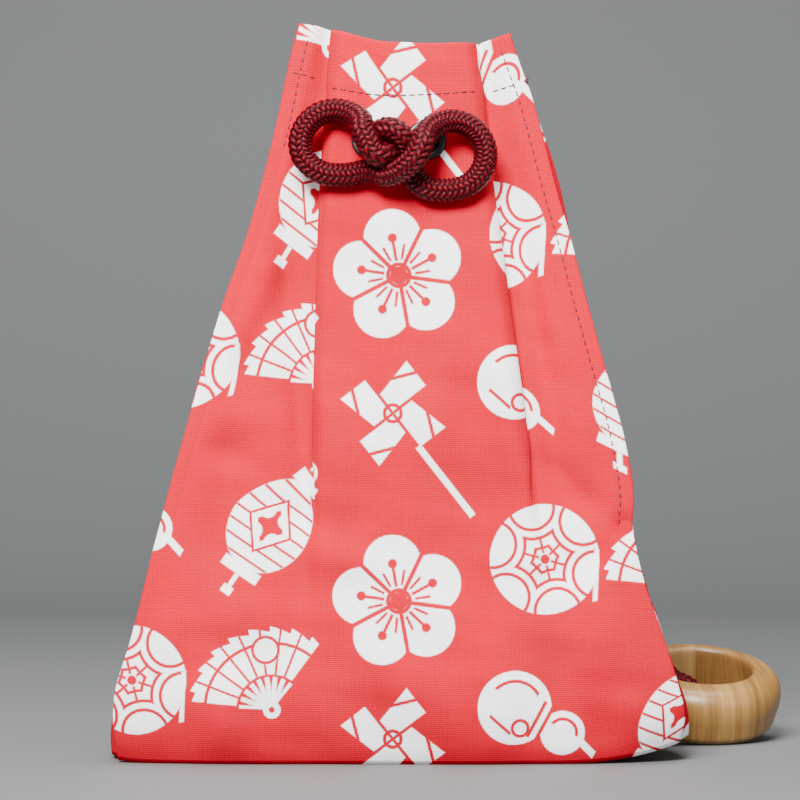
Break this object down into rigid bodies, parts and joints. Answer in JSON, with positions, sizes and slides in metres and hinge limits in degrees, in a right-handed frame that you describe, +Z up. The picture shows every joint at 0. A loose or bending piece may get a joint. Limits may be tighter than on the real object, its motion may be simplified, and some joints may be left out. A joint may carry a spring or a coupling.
{
  "type": "drawstring pouch",
  "caption": "Tall soft pouch with pleated walls on a stiff base, its mouth drawn shut by a braided cord through eyelets, with a bow in front and a turned wooden ring on the cord's end.",
  "frame": {"origin": "middle of the base, on the surface that the pouch stands on", "axes": "+Z up towards the mouth, +X to the right as seen from the front, +Y towards the back; the bow is on the -Y side"},
  "size_m": [0.2608, 0.1862, 0.269],
  "materials": {
    "printed_cotton": "matte",
    "lining_cotton": "matte",
    "card": "matte",
    "braided_cord": "satin",
    "black_metal": "satin",
    "turned_wood": "satin"
  },
  "bodies": {
    "root": {"back_panel": "printed_cotton", "back_mouth_facing": "printed_cotton", "lining_back": "lining_cotton", "left_gusset": "printed_cotton", "right_gusset": "printed_cotton", "lining_left": "lining_cotton", "lining_right": "lining_cotton", "base_cloth": "printed_cotton", "base_board": "card", "lining_base": "lining_cotton", "back_eyelet_left": "black_metal", "back_eyelet_right": "black_metal", "back_washer_left": "black_metal", "back_washer_right": "black_metal", "gusset_eyelet_left_front": "black_metal", "gusset_eyelet_left_back": "black_metal", "gusset_eyelet_right_front": "black_metal", "gusset_eyelet_right_back": "black_metal", "gusset_washer_left_front": "black_metal", "gusset_washer_left_back": "black_metal", "gusset_washer_right_front": "black_metal", "gusset_washer_right_back": "black_metal", "cord_run_left": "braided_cord", "cord_run_right": "braided_cord", "cord_tail_left": "braided_cord", "cord_tail_right": "braided_cord"},
    "front_wall": {"front_panel": "printed_cotton", "front_mouth_facing": "printed_cotton", "lining_front": "lining_cotton", "front_eyelet_left": "black_metal", "front_eyelet_right": "black_metal", "front_washer_left": "black_metal", "front_washer_right": "black_metal", "bow_knot": "braided_cord"},
    "cord_end": {"ring_strand_under": "braided_cord", "ring_strand_over": "braided_cord", "end_knot": "braided_cord"},
    "ring": {"wooden_ring": "turned_wood"}
  },
  "joints": [
    {"name": "mouth_open", "type": "hinge", "parent": "root", "child": "front_wall", "pos_m": [0, -0.037, 0], "axis": [1, 0, 0], "range_deg": [0, 6], "deforming": ["cord_run_left", "cord_run_right"]},
    {"name": "ring_lift", "type": "hinge", "parent": "root", "child": "cord_end", "pos_m": [0.0614, 0.0566, 0.0046], "axis": [-0.6937, -0.7203, 0], "range_deg": [0, 70], "deforming": ["cord_tail_left", "cord_tail_right"]},
    {"name": "ring_spin", "type": "hinge", "parent": "cord_end", "child": "ring", "pos_m": [0.1187, 0.0625, 0.0069], "axis": [0.0504, -0.2672, 0.9623], "continuous": true}
  ]
}
